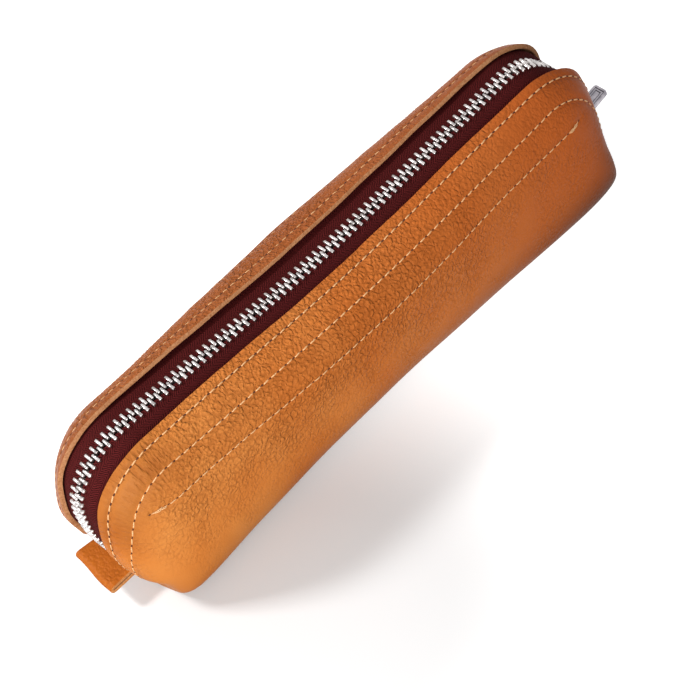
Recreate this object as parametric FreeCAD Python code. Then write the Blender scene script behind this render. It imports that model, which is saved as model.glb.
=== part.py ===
import FreeCAD, Part
import math
import os

# Zip pen case of soft leather, standing on its flat base. Sizes in millimetres.
# +X runs along the case to the end where the slider is parked, -Y is the front, +Z is up.

# overall
length = 210.0            # over the two leather ends
width = 55.0              # at the widest part of the walls
height = 52.0             # crown of the zip line, middle of the case
end_rise = 3.5            # the zip line stands this much higher near the ends
base_dip = 1.0            # how far the free underside would bulge below the flat base

# roundings of the two ends
corner_radius = 24.0      # zip line, seen from the front
plan_high = 18.0          # front and back walls, seen from above, at the top
plan_low = 2.5            # the same at the base, where the corners are boxed
under_radius = 3.0        # base, seen from the front
waist = 3.0               # the base is this much narrower on each side in the middle
shoulder = 7.0            # the walls lean in this much more near the ends, at the top
end_lean = math.tan(math.radians(13.5))   # the ends draw in towards the base
top_power = 2.8           # roundness of the section above its middle
base_power = 3.6          # the lower half is squarer
boxed_power = 5.0         # and squarest at the two ends

# leather, zip tape and thread
leather = 1.5
tape = 0.6
bead = 1.1                # cord woven into the tape edge, across its thickness
thread = 0.5              # width of a sewn row
thread_raise = 0.25       # how far the thread stands above the leather

# mouth and zip
rim = 9.0                 # cut edge of the leather from the middle plane
mouth_end = 3.8           # lower end of the mouth on the slider's end face
tab_mouth_end = 5.6       # and on the loop tab's end face
tape_reach = 14.0         # outer edge of the tape from the middle plane
tape_end = 4.8            # the tape stops this high above the base on the slider's end
wall_run = width / 2 - rim
row_one = rim + 3.0       # sewn rows, from the middle plane
row_two = rim + 0.55 * wall_run
row_three = rim + 0.855 * wall_run
row_three_left = 93.0     # the third row stops short of both ends
row_three_right = 86.0
row_two_follow = 0.1 * wall_run       # they keep their distance from the rim where the walls lean in
row_three_follow = 0.24 * wall_run
row_end = 6.5

# chain
pitch = 2.5
tooth_length = 1.0        # along the zip
tooth_height = 2.6        # across the tape thickness
tooth_reach = 2.75        # outer end from the middle plane
tooth_overlap = 0.55      # head past the middle plane
tooth_jaw = 1.3           # gap between the jaws, where the bead lies
bead_inner = 1.05
bead_outer = 2.3
parting = 1.5             # each row stands apart this far inside the parked slider
stop_size = 2.2

# slider and pull
slider_length = 11.0
slider_centre = 10.4      # height of the parked slider above the base
slider_plate = 1.2
slider_flange = 0.8
fit_gap = 0.35            # between pieces that move past one another
divider = 2.2             # length of the wedge that parts the rows
bridge_height = 2.6
bridge_width = 1.6
bridge_wall = 1.1
bridge_length = 4.8
pull_width = 5.4
pull_thickness = 1.3
pull_length = 18.5
pull_angle = 26.0         # parked pull, above the straight-out direction

# loop tab
tab_width = 2 * (rim - fit_gap)
tab_leather = 1.3
tab_slit = 0.5
tab_length = 10.5         # from the end face to the fold
tab_thick = 2 * tab_leather + tab_slit
tab_height = tab_mouth_end + fit_gap + tab_thick / 2
tab_side_end = tab_mouth_end + tab_thick + 3 * fit_gap      # the tape stops above the tab

# values that follow
half_length = length / 2
arc_start = half_length - corner_radius
end_height = height + end_rise
arc_height = end_height - corner_radius       # height of the arc centre
tape_middle = leather + tape / 2


def top_height(x):
    run = min(abs(x) / arc_start, 1.0)
    return height + end_rise * (1 - math.cos(math.pi * run)) / 2


def stations():
    """Signed pairs: position along the straight part and turn angle round the end."""
    turns = [0.0, 14.0, 28.0, 42.0, 55.0, 67.0, 79.0, 90.0]
    straight = 8
    right = [(arc_start, t) for t in reversed(turns)]
    middle = [(arc_start * (1 - 2 * i / straight), 0.0) for i in range(1, straight)]
    left = [(-arc_start, t) for t in turns]
    return right + middle + left


def section_size(x, turn, inset):
    """Place, top and bottom of one cross-section of the case."""
    s = math.sin(math.radians(turn))
    c = math.cos(math.radians(turn))
    side = 1 if x > 0 else -1
    place = x + side * (corner_radius - inset) * s
    top = top_height(x) - corner_radius + (corner_radius - inset) * c
    bottom = under_radius - (under_radius - inset) * c - base_dip
    return place, top, bottom


def half_width(x, turn, inset, rise):
    """Half width of a cross-section; rise goes from 0 at its foot to 1 at its crown."""
    c = math.cos(math.radians(turn))
    radius = plan_low + (plan_high - plan_low) * rise
    near_end = (1 - math.cos(math.pi * min(abs(x) / arc_start, 1.0))) / 2
    drawn_in = waist * (1 - rise) * (1 - near_end) + shoulder * rise * near_end
    return width / 2 - radius + (radius - inset) * c - drawn_in


def lean(place, turn, z, side):
    pull_in = math.sin(math.radians(turn)) ** 2
    return place + side * end_lean * (z - arc_height) * pull_in


def section_points(x, turn, inset, count=28):
    place, top, bottom = section_size(x, turn, inset)
    side = 1 if x > 0 else -1
    middle = (top + bottom) / 2
    near_end = (1 - math.cos(math.pi * min(abs(x) / arc_start, 1.0))) / 2
    low_power = base_power + (boxed_power - base_power) * near_end
    points = []
    for i in range(count):
        a = 2 * math.pi * i / count
        s = math.sin(a)
        c = math.cos(a)
        power = 2 / (top_power if c > 0 else low_power)
        reach = (top - middle) if c > 0 else (middle - bottom)
        z = middle + reach * math.copysign(abs(c) ** power, c)
        half = half_width(x, turn, inset, (z - bottom) / (top - bottom))
        y = half * math.copysign(abs(s) ** power, s)
        points.append(FreeCAD.Vector(lean(place, turn, z, side), y, z))
    return points


def pouch(inset):
    """The closed outline of the case, drawn in by the inset all round."""
    wires = []
    for x, turn in stations():
        curve = Part.BSplineCurve()
        curve.interpolate(section_points(x, turn, inset), PeriodicFlag=True)
        wires.append(Part.Wire([curve.toShape()]))
    body = Part.makeLoft(wires, True, False)
    floor = Part.makeBox(
        2 * length, 2 * width, height, FreeCAD.Vector(-length, -width, max(inset, 0) - height)
    )
    return body.cut(floor)


def block(x0, x1, y0, y1, z0, z1):
    low = FreeCAD.Vector(min(x0, x1), min(y0, y1), min(z0, z1))
    return Part.makeBox(abs(x1 - x0), abs(y1 - y0), abs(z1 - z0), low)


def zip_line(inset):
    """Points of the middle line of the zip, from the right end over the top to the left end."""
    points = []
    fine = 90
    for step in range(41):
        z = mouth_end + (arc_height - mouth_end) * step / 40
        points.append((lean(half_length - inset, 90.0, z, 1), z))
    for step in range(1, fine + 1):
        place, top, bottom = section_size(arc_start, 90.0 - 90.0 * step / fine, inset)
        points.append((lean(place, 90.0 - 90.0 * step / fine, top, 1), top))
    for step in range(1, 100):
        x = arc_start * (1 - step / 100)
        points.append((x, top_height(x) - inset))
    mirrored = [(-x, z) for x, z in reversed(points)]
    return points + [(0.0, height - inset)] + mirrored


def measured(points):
    total = [0.0]
    for a, b in zip(points, points[1:]):
        total.append(total[-1] + math.dist(a, b))
    return total


line = zip_line(tape_middle)
travelled = measured(line)


def on_line(distance):
    """Point and turn about Y at a distance along the zip line."""
    i = 1
    while travelled[i] < distance and i < len(line) - 1:
        i += 1
    a = line[i - 1]
    b = line[i]
    part = (distance - travelled[i - 1]) / (travelled[i] - travelled[i - 1])
    x = a[0] + (b[0] - a[0]) * part
    z = a[1] + (b[1] - a[1]) * part
    turn = math.degrees(math.atan2(b[0] - a[0], b[1] - a[1]))
    return FreeCAD.Vector(x, 0, z), turn


def distance_at_height(z):
    """Distance along the line, on the right end face, where it reaches this height."""
    i = 1
    while line[i][1] < z:
        i += 1
    part = (z - line[i - 1][1]) / (line[i][1] - line[i - 1][1])
    return travelled[i - 1] + part * (travelled[i] - travelled[i - 1])


def placed(shape, distance):
    """Shape drawn with X outward and Z along the zip, set at a distance along the line."""
    point, turn = on_line(distance)
    copy = shape.copy()
    copy.Placement = FreeCAD.Placement(point, FreeCAD.Rotation(FreeCAD.Vector(0, 1, 0), turn))
    return copy


def tooth(side, apart):
    near = -tooth_overlap + apart
    outer = tooth_reach + apart
    half = tooth_height / 2
    body = block(-half, half, side * near, side * outer, -tooth_length / 2, tooth_length / 2)
    jaw = tooth_jaw / 2
    gap = block(
        -jaw, jaw, side * (bead_inner + apart - 0.05), side * (outer + 1), -tooth_length, tooth_length
    )
    return body.cut(gap)


def chain(side, first, last, shift):
    start = distance_at_height(slider_centre + slider_length / 2 + 1.0)
    teeth = []
    count = int((last - first) / pitch)
    for i in range(count + 1):
        at = first + shift * pitch / 2 + i * pitch
        apart = parting if at < start else 0.0
        teeth.append(placed(tooth(side, apart), at))
    return Part.makeCompound(teeth)


# leather hide with its mouth
outer = pouch(0.0)
inner = pouch(leather)
hide = outer.cut(inner)
hide = hide.cut(block(-length, 0, -rim, rim, tab_mouth_end, 2 * height))
hide = hide.cut(block(0, length, -rim, rim, mouth_end, 2 * height))

# tapes, each under the leather beside the mouth
under_tape = pouch(leather + tape)
tape_layer = inner.cut(under_tape)
parted_top = slider_centre + slider_length / 2 + 1.0


def mirrored(shape):
    """The same piece on the other side of the middle plane."""
    return shape.mirror(FreeCAD.Vector(0, 0, 0), FreeCAD.Vector(0, 1, 0))


def back_tape():
    strip = tape_layer.common(block(-length, length, bead_outer, tape_reach, tape_end, 2 * height))
    strip = strip.cut(block(-length, 0, 0, width, 0, tab_side_end))
    return strip.cut(block(arc_start, length, 0, bead_outer + parting, 0, parted_top))


bead_layer = pouch(tape_middle - bead / 2).cut(pouch(tape_middle + bead / 2))


def back_bead():
    cord = bead_layer.common(block(-length, length, bead_inner, bead_outer, tape_end, 2 * height))
    cord = cord.cut(block(-length, 0, 0, width, 0, tab_side_end))
    window = block(arc_start, length, -width, width, 0, parted_top)
    parted = cord.common(window)
    parted.translate(FreeCAD.Vector(0, parting, 0))
    return Part.makeCompound(cord.cut(window).Solids + parted.Solids)


# sewn rows on the leather
thread_layer = pouch(-thread_raise).cut(outer)


def back_row(offset, left=length, right=length, follow=0.0, low=row_end, steps=24):
    places = [-left + (left + right) * i / steps for i in range(steps + 1)]
    edge = []
    for x in places:
        run = min(abs(x) / half_length, 1.0)
        edge.append((x, offset - follow * (1 - math.cos(math.pi * run)) / 2))
    outline = [FreeCAD.Vector(x, y - thread / 2, low) for x, y in edge]
    outline += [FreeCAD.Vector(x, y + thread / 2, low) for x, y in reversed(edge)]
    plan = Part.Face(Part.makePolygon(outline + outline[:1]))
    return thread_layer.common(plan.extrude(FreeCAD.Vector(0, 0, 2 * height)))


# chain ends
line_end = travelled[-1]
chain_first = distance_at_height(tape_end) + 1.6
chain_last = line_end - distance_at_height(tab_side_end) - stop_size - 2.7


def stop(side, apart):
    half = tooth_height / 2
    body = block(-half, half, side * (bead_inner + apart - 0.4), side * (tooth_reach + apart), -0.7, 0.7)
    jaw = tooth_jaw / 2
    gap = block(
        -jaw, jaw, side * (bead_inner + apart - 0.05), side * (tooth_reach + apart + 1), -1, 1
    )
    return body.cut(gap)


def bottom_stop():
    half = tooth_height / 2
    clip = block(-half, half, -tooth_reach, tooth_reach, -stop_size / 2, stop_size / 2)
    jaw = tooth_jaw / 2
    for side in (-1, 1):
        clip = clip.cut(
            block(-jaw, jaw, side * (bead_inner - 0.05), side * (tooth_reach + 1), -stop_size, stop_size)
        )
    return clip


# slider, drawn with X outward from the tape middle and Z along the zip
channel_half = tooth_reach + parting + fit_gap
channel_depth = tooth_height + 2 * fit_gap
slider_half = channel_half + slider_flange
plate_out = channel_depth / 2 + slider_plate


def slider_body():
    long_half = slider_length / 2
    shell = block(-plate_out, plate_out, -slider_half, slider_half, -long_half, long_half)
    corners = [e for e in shell.Edges if abs(e.Vertexes[0].X - e.Vertexes[1].X) > plate_out]
    shell = shell.makeFillet(2.4, corners)
    room = channel_depth / 2
    shell = shell.cut(
        block(-room, room, -channel_half, channel_half, -slider_length, slider_length)
    )
    slit = tape / 2 + fit_gap
    shell = shell.cut(block(-slit, slit, -width, width, -slider_length, slider_length))
    wedge_half = parting - tooth_overlap - fit_gap
    wedge = block(
        -plate_out + 0.2, plate_out - 0.2, -wedge_half, wedge_half, -long_half, -long_half + divider
    )
    return shell.fuse(wedge).removeSplitter()


bridge_out = plate_out + bridge_height


def slider_bridge():
    arch = block(
        plate_out, bridge_out, -bridge_width / 2, bridge_width / 2, -bridge_length / 2, bridge_length / 2
    )
    crown = [
        e for e in arch.Edges
        if abs(e.Vertexes[0].Y - e.Vertexes[1].Y) > 0.1 and e.Vertexes[0].X > bridge_out - 0.01
    ]
    arch = arch.makeFillet(bridge_height - bridge_wall, crown)
    hollow = block(
        plate_out, bridge_out - bridge_wall, -width, width,
        -bridge_length / 2 + bridge_wall, bridge_length / 2 - bridge_wall
    )
    return arch.cut(hollow)


pin_out = plate_out + (bridge_height - bridge_wall) / 2      # axis the pull swings on
eye_bar = bridge_height - bridge_wall - 2 * 0.2              # thickness of the pull at its eye


def pull():
    bar_half = eye_bar / 2
    eye = block(0, 4.9, -pull_width / 2, pull_width / 2, -bar_half, bar_half)
    bar = Part.makeCylinder(
        bar_half, pull_width, FreeCAD.Vector(0, -pull_width / 2, 0), FreeCAD.Vector(0, 1, 0)
    )
    tail = block(4.4, pull_length, -pull_width / 2, pull_width / 2, -pull_thickness / 2, pull_thickness / 2)
    plate = eye.fuse(bar).fuse(tail)
    window = block(bar_half, 3.9, -bridge_width / 2 - fit_gap, bridge_width / 2 + fit_gap, -2, 2)
    plate = plate.cut(window)
    corners = [
        e for e in plate.Edges
        if abs(e.Vertexes[0].Z - e.Vertexes[-1].Z) > 1.0 and e.Vertexes[0].X > pull_length - 0.01
    ]
    plate = plate.makeFillet(1.1, corners)
    face = pull_thickness / 2
    depth = 0.2
    for side in (-1, 1):
        for margin in (0.8, 1.6):
            frame = block(
                4.6 + margin, pull_length - margin, -pull_width / 2 + margin, pull_width / 2 - margin,
                side * (face - depth), side * (face + 1)
            )
            core = block(
                4.85 + margin, pull_length - 0.25 - margin, -pull_width / 2 + margin + 0.25,
                pull_width / 2 - margin - 0.25, side * (face - 1), side * (face + 2)
            )
            plate = plate.cut(frame.cut(core))
    return plate


def parked(shape, along=0.0):
    return placed(shape, distance_at_height(slider_centre) + along)


def parked_pull():
    swung = pull()
    turn = FreeCAD.Rotation(FreeCAD.Vector(0, 1, 0), -pull_angle)
    swung.Placement = FreeCAD.Placement(FreeCAD.Vector(pin_out, 0, 0), turn)
    point, lean_turn = on_line(distance_at_height(slider_centre))
    frame = FreeCAD.Placement(point, FreeCAD.Rotation(FreeCAD.Vector(0, 1, 0), lean_turn))
    swung.Placement = frame.multiply(swung.Placement)
    return swung


# loop tab: a strip folded back on itself, its root in the mouth below the tape end
tab_root = -lean(half_length, 90.0, tab_height, 1)


def loop_tab():
    thick = tab_thick
    strip = block(tab_root - tab_length, tab_root + thick / 2, -tab_width / 2, tab_width / 2,
                  tab_height - thick / 2, tab_height + thick / 2)
    ends = [e for e in strip.Edges if abs(e.Vertexes[0].Y - e.Vertexes[1].Y) > 1]
    strip = strip.makeFillet(thick / 2 - 0.01, ends)
    slit = block(tab_root - tab_length + tab_leather, tab_root - 1.0, -tab_width, tab_width,
                 tab_height - tab_slit / 2, tab_height + tab_slit / 2)
    return strip.cut(slit)


tape_back = back_tape()
bead_back = back_bead()
row_one_back = back_row(row_one)
row_two_back = back_row(row_two, follow=row_two_follow)
row_three_back = back_row(row_three, row_three_left, row_three_right, row_three_follow, height / 2)

nodes = {
    "leather_body": hide,
    "tape_front": mirrored(tape_back),
    "tape_back": tape_back,
    "bead_front": mirrored(bead_back),
    "bead_back": bead_back,
    "teeth_front": chain(-1, chain_first, chain_last, 0),
    "teeth_back": chain(1, chain_first, chain_last, 1),
    "top_stop_front": placed(stop(-1, parting), chain_first - 1.55),
    "top_stop_back": placed(stop(1, parting), chain_first - 1.55),
    "bottom_stop": placed(bottom_stop(), chain_last + pitch + stop_size / 2),
    "slider_body": parked(slider_body()),
    "slider_bridge": parked(slider_bridge()),
    "pull_tab": parked_pull(),
    "loop_tab": loop_tab(),
    "row_one_front": mirrored(row_one_back),
    "row_one_back": row_one_back,
    "row_two_front": mirrored(row_two_back),
    "row_two_back": row_two_back,
    "row_three_front": mirrored(row_three_back),
    "row_three_back": row_three_back,
}

os.makedirs("parts", exist_ok=True)
for name, shape in nodes.items():
    shape.exportStep("parts/" + name + ".step")
    print(name, len(shape.Solids), "solids", round(shape.Volume, 1), "valid", shape.isValid())
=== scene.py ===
import bpy
import bmesh
import math
import random
from mathutils import Matrix, Vector, noise
from mathutils.bvhtree import BVHTree


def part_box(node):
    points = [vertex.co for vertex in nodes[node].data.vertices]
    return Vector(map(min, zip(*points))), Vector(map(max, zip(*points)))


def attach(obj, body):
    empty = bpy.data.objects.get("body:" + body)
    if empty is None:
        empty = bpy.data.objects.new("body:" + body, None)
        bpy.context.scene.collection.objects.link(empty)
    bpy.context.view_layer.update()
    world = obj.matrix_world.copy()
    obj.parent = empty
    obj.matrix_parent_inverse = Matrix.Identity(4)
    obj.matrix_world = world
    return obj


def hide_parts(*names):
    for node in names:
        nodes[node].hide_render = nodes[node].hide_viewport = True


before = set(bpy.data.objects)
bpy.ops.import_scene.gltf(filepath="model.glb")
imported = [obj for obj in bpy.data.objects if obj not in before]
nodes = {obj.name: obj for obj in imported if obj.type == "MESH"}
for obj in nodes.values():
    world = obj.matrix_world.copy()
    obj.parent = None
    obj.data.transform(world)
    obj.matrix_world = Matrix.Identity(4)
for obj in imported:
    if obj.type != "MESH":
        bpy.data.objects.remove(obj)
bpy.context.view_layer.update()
print("frame loaded")

# the outline of the case, in metres
caseSize = {
    "length": 0.210, "width": 0.055, "height": 0.052, "endRise": 0.0035,
    "cornerRadius": 0.024, "planHigh": 0.018, "planLow": 0.0025, "underRadius": 0.003,
    "waist": 0.003, "shoulder": 0.007, "endLean": math.tan(math.radians(13.5)),
    "topPower": 2.8, "basePower": 3.6, "boxedPower": 5.0, "baseDip": 0.001,
    "leather": 0.0015, "tape": 0.0006, "rim": 0.009, "mouthEnd": 0.0038, "tabMouthEnd": 0.0056,
}
halfLength = caseSize["length"] / 2
arcStart = halfLength - caseSize["cornerRadius"]
arcHeight = caseSize["height"] + caseSize["endRise"] - caseSize["cornerRadius"]


def nearEnd(x, reach=arcStart):
    return (1 - math.cos(math.pi * min(abs(x) / reach, 1.0))) / 2


def clamp(share):
    return min(max(share, 0.0), 1.0)


def ease(value, start, end):
    share = clamp((value - start) / (end - start))
    return share * share * (3 - 2 * share)


def runningLengths(points):
    lengths = [0.0]
    for a, b in zip(points, points[1:]):
        lengths.append(lengths[-1] + (b - a).length)
    return lengths


softness = {
    "cornerOut": 0.0022, "cornerIn": 0.0030, "cornerLong": 0.0016, "rightCorner": 0.2, "belly": 0.0010,
    "puff": 0.0022, "sink": 0.0010, "bendSink": 0.0030, "sinkFrom": 0.0248, "wave": 0.00028, "fine": 0.00010,
}


def boxCorner(point):
    # the four bottom corners of the sewn box stand out a little, the left ones rounded more
    weight = ease(abs(point.x), 0.060, 0.098) * (1 - ease(point.z, 0.002, 0.026))
    weight *= ease(abs(point.y), 0.010, 0.024)
    outward = softness["cornerOut"] * (1.0 if point.x < 0 else softness["rightCorner"])
    inward = softness["cornerIn"] if point.x < 0 else softness["cornerLong"]
    inward *= ease(abs(point.x), 0.086, 0.100)
    wall = (1 - ease(abs(point.x - 0.006), 0.012, 0.048)) * (1 - ease(point.z, 0.006, 0.034))
    wall *= ease(abs(point.y), 0.006, 0.020)
    wide = outward * weight + softness["belly"] * wall
    return Vector((point.x + inward * weight, point.y + math.copysign(wide, point.y), point.z))


def puffAt(side, z):
    # the hide stands off the seam above the tab
    if side >= 0:
        return 0.0
    return softness["puff"] * ease(z, 0.0085, 0.0150) * (1 - ease(z, 0.020, 0.040))


def sinkAt(x, y, z):
    # the tape hangs a little below the leather, deepest round the slider's bend, and level inside the slider
    rim = caseSize["rim"]
    free = 1 - ease(abs(y), rim, rim + 0.003)
    level = ease(z, softness["sinkFrom"], 0.034)
    hang = softness["sink"] * (1 - 0.75 * ease(abs(x), 0.060, 0.090))
    bend = ease(x, arcStart, arcStart + 0.008) * (1 - ease(z, 0.0465, 0.0550))
    bend *= ease(z, softness["sinkFrom"], 0.036)
    return hang * free * level + softness["bendSink"] * bend * (1 - min(abs(y) / rim, 1.0))


def rimWave(x, z, side):
    # the hand-cut edge wanders a little
    place = Vector((x * 70, z * 70, side * 7.3))
    return softness["wave"] * noise.noise(place) + softness["fine"] * noise.noise(place * 4.1)


def halfSection(side, x, turn, inset, count):
    # one cross-section of the case from its crown, down the back wall, to the middle of the base
    s, c = math.sin(turn), math.cos(turn)
    radius = caseSize["cornerRadius"]
    near = nearEnd(x)
    place = x + side * (radius - inset) * s
    top = caseSize["height"] + caseSize["endRise"] * near - radius + (radius - inset) * c
    under = caseSize["underRadius"]
    bottom = under - (under - inset) * c - caseSize["baseDip"]
    middle = (top + bottom) / 2
    lowPower = caseSize["basePower"] + (caseSize["boxedPower"] - caseSize["basePower"]) * near
    points = []
    for i in range(count):
        a = math.pi * i / (count - 1)
        sa, ca = math.sin(a), math.cos(a)
        power = 2 / (caseSize["topPower"] if ca > 0 else lowPower)
        reach = (top - middle) if ca > 0 else (middle - bottom)
        z = middle + reach * math.copysign(abs(ca) ** power, ca)
        rise = (z - bottom) / (top - bottom)
        plan = caseSize["planLow"] + (caseSize["planHigh"] - caseSize["planLow"]) * rise
        drawnIn = caseSize["waist"] * (1 - rise) * (1 - near) + caseSize["shoulder"] * rise * near
        half = caseSize["width"] / 2 - plan + (plan - inset) * c - drawnIn
        y = half * max(sa, 0.0) ** power
        across = place + side * (caseSize["endLean"] * (z - arcHeight) + puffAt(side, z)) * s * s
        points.append(Vector((across, y, max(z, max(inset, 0.0)))))
    return points


def atWidth(points, y):
    # where the upper part of a section is this far from the middle plane
    for a, b in zip(points, points[1:]):
        if b.y >= y and b.y > a.y:
            return a.lerp(b, (y - a.y) / (b.y - a.y))
    return points[len(points) // 2].copy()


def fromRim(points, rim):
    # the section below the cut edge of the leather, and its running length
    start = atWidth(points, rim)
    kept = [start] + [p for i, p in enumerate(points) if p.y > rim and i < len(points) // 2]
    kept += points[len(points) // 2:]
    return kept, runningLengths(kept)


def along(points, lengths, distance):
    low, high = 0, len(lengths) - 1
    while high - low > 1:
        half = (low + high) // 2
        if lengths[half] <= distance:
            low = half
        else:
            high = half
    span = lengths[high] - lengths[low]
    return points[low].lerp(points[high], clamp((distance - lengths[low]) / span) if span else 0)


def facePlane(side, y, z):
    # a point of the flat end face, which leans in towards the base
    return side * (halfLength + caseSize["endLean"] * (z - arcHeight) + puffAt(side, z))


def zipColumns(rightEnd, leftEnd, steps=(10, 22, 96)):
    # steps along the zip: up the slider's end face, round, along the top, round and down
    down, turns, run = steps
    columns = [("face", 1, rightEnd, i / down) for i in range(down)]
    columns += [("turn", 1, 0, math.radians(90 * (1 - i / turns))) for i in range(turns)]
    columns += [("run", 0, 0, arcStart * (1 - 2 * i / run)) for i in range(run + 1)]
    columns += [("turn", -1, 0, math.radians(90 * (i + 1) / turns)) for i in range(turns)]
    columns += [("face", -1, leftEnd, 1 - (i + 1) / down) for i in range(down)]
    return columns


sectionStore = {}


def onTape(column, y, inset):
    probe = onCase(column, y, inset)
    return onCase(column, y, round(inset + sinkAt(probe.x, y, probe.z), 5))


def onCase(column, y, inset):
    # the point of the outline, drawn in by the inset, in this column at this distance from the middle plane
    kind, side, low, value = column
    key = (kind, side, value if kind != "face" else 0, round(inset, 6))
    if key not in sectionStore:
        if kind == "run":
            sectionStore[key] = halfSection(1, value, 0.0, inset, 90)
        else:
            sectionStore[key] = halfSection(side, side * arcStart, value if kind == "turn" else math.pi / 2,
                                            inset, 90)
    point = atWidth(sectionStore[key], y)
    if kind == "face":
        z = low + (point.z - low) * value
        point = Vector((facePlane(side, y, z) - side * inset, point.y, z))
    return point


def setSockets(tree, node, values):
    # each input takes a link where an output is given, and a plain value otherwise
    for name, value in values.items():
        socket = node.inputs[name]
        if isinstance(value, bpy.types.NodeSocket):
            tree.links.new(value, socket)
        else:
            socket.default_value = value


def addNode(tree, kind, values=None, **settings):
    made = tree.nodes.new(kind)
    for name, value in settings.items():
        setattr(made, name, value)
    setSockets(tree, made, values or {})
    return made


def colour(hexValue):
    parts = [int(hexValue[i:i + 2], 16) / 255 for i in (1, 3, 5)]
    return tuple(p / 12.92 if p <= 0.04045 else ((p + 0.055) / 1.055) ** 2.4 for p in parts) + (1.0,)


def newMaterial(name):
    material = bpy.data.materials.new(name)
    material.use_nodes = True
    tree = material.node_tree
    tree.nodes.clear()
    surface = addNode(tree, "ShaderNodeBsdfPrincipled")
    addNode(tree, "ShaderNodeOutputMaterial", {"Surface": surface.outputs[0]})
    return material, tree, surface


def ramp(tree, source, stops):
    made = addNode(tree, "ShaderNodeValToRGB", {"Fac": source})
    band = made.color_ramp
    while len(band.elements) < len(stops):
        band.elements.new(0.5)
    for element, (place, value) in zip(band.elements, stops):
        element.position = place
        element.color = value
    return made.outputs["Color"]


def rawFibre(name, tones, scale, lift):
    # undyed fibre: the cut edge and the flesh side are paler, matt and slightly furry
    material, tree, surface = newMaterial(name)
    place = addNode(tree, "ShaderNodeTexCoord").outputs["Object"]
    fibre = addNode(tree, "ShaderNodeTexNoise",
                    {"Vector": place, "Scale": scale, "Detail": 4.0}).outputs["Fac"]
    tone = ramp(tree, fibre, [(0.3, colour(tones[0])), (0.7, colour(tones[1]))])
    bump = addNode(tree, "ShaderNodeBump", {"Height": fibre, "Strength": 0.6, "Distance": lift}).outputs[0]
    setSockets(tree, surface, {"Base Color": tone, "Normal": bump, "Roughness": 0.85})
    return material


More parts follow.
